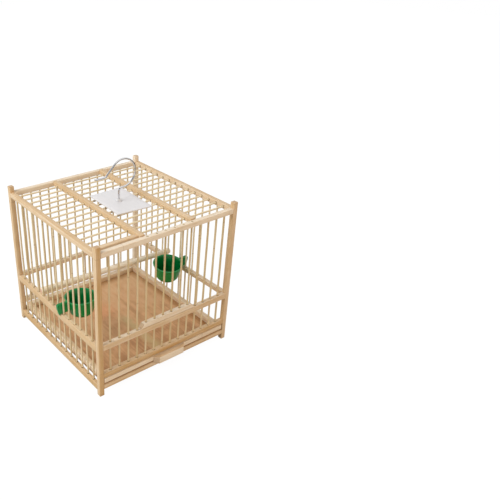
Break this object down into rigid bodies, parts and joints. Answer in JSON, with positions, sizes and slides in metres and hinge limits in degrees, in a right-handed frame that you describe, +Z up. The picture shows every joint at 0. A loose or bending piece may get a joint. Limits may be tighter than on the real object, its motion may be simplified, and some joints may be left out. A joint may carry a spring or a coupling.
{
  "type": "birdcage",
  "caption": "Small square bamboo birdcage with a lifting bar door, slide-out litter tray, perch, hooked-on feeding cups and a wire hanging hook.",
  "frame": {"origin": "centre of the overall box, on the plane that the four posts stand on", "axes": "+X to the right seen from the door side, -Y towards the door and the tray's pull, +Z up"},
  "size_m": [0.2598, 0.263, 0.3048],
  "materials": {
    "bamboo": "planed, bare",
    "bamboo_bar": "drawn round, bare",
    "plywood": "thin veneered board, bare",
    "dowel": "turned, bare",
    "green_plastic": "moulded, glossy",
    "grey_sheet": "matt sheet",
    "steel": "bright plated"
  },
  "bodies": {
    "frame": {"bottom_rail_back": "bamboo", "bottom_rail_front": "bamboo", "bottom_rail_left": "bamboo", "bottom_rail_right": "bamboo", "clamp_plate": "steel", "front_bar_1": "bamboo_bar", "front_bar_2": "bamboo_bar", "front_bar_3": "bamboo_bar", "front_bar_4": "bamboo_bar", "front_bar_5": "bamboo_bar", "front_bar_6": "bamboo_bar", "front_bar_7": "bamboo_bar", "front_bar_8": "bamboo_bar", "lower_strip_back": "bamboo", "lower_strip_front": "bamboo", "mid_rail_back": "bamboo", "mid_rail_front": "bamboo", "mid_rail_left": "bamboo", "mid_rail_right": "bamboo", "post_back_left": "bamboo", "post_back_right": "bamboo", "post_front_left": "bamboo", "post_front_right": "bamboo", "roof_batten_left": "bamboo", "roof_batten_right": "bamboo", "roof_plate": "grey_sheet", "roof_rod_01": "bamboo_bar", "roof_rod_02": "bamboo_bar", "roof_rod_03": "bamboo_bar", "roof_rod_04": "bamboo_bar", "roof_rod_05": "bamboo_bar", "roof_rod_06": "bamboo_bar", "roof_rod_07": "bamboo_bar", "roof_rod_08": "bamboo_bar", "roof_rod_09": "bamboo_bar", "roof_rod_10": "bamboo_bar", "roof_rod_11": "bamboo_bar", "roof_rod_12": "bamboo_bar", "roof_rod_13": "bamboo_bar", "roof_rod_14": "bamboo_bar", "roof_strip": "bamboo", "top_rail_back": "bamboo", "top_rail_front": "bamboo", "top_rail_left": "bamboo", "top_rail_right": "bamboo"},
    "door": {"door": "bamboo"},
    "tray": {"tray_floor": "plywood", "tray_front_strip": "bamboo", "tray_pull": "bamboo", "tray_strip_back": "bamboo", "tray_strip_left": "bamboo", "tray_strip_right": "bamboo"},
    "hook_assembly": {"hook": "steel", "hook_washer": "steel", "hook_nut_upper": "steel", "hook_nut_lower": "steel"},
    "perch": {"perch": "dowel"},
    "left_cup": {"cup_left": "green_plastic"},
    "right_cup": {"cup_right": "green_plastic"}
  },
  "joints": [
    {"name": "door_lift", "type": "slide", "parent": "frame", "child": "door", "axis": [0, 0, 1], "range_m": [0, 0.132]},
    {"name": "tray_slide", "type": "slide", "parent": "frame", "child": "tray", "axis": [0, -1, 0], "range_m": [0, 0.2]},
    {"name": "hook_swivel", "type": "hinge", "parent": "frame", "child": "hook_assembly", "pos_m": [-0.0028, 0.00125, 0.23835], "axis": [0, 0, 1], "continuous": true},
    {"name": "perch_lift", "type": "slide", "parent": "frame", "child": "perch", "axis": [0, 0, 1], "range_m": [0, 0.12]},
    {"name": "left_cup_lift", "type": "slide", "parent": "frame", "child": "left_cup", "axis": [0, 0, 1], "range_m": [0, 0.1]},
    {"name": "right_cup_lift", "type": "slide", "parent": "frame", "child": "right_cup", "axis": [0, 0, 1], "range_m": [0, 0.1]}
  ]
}
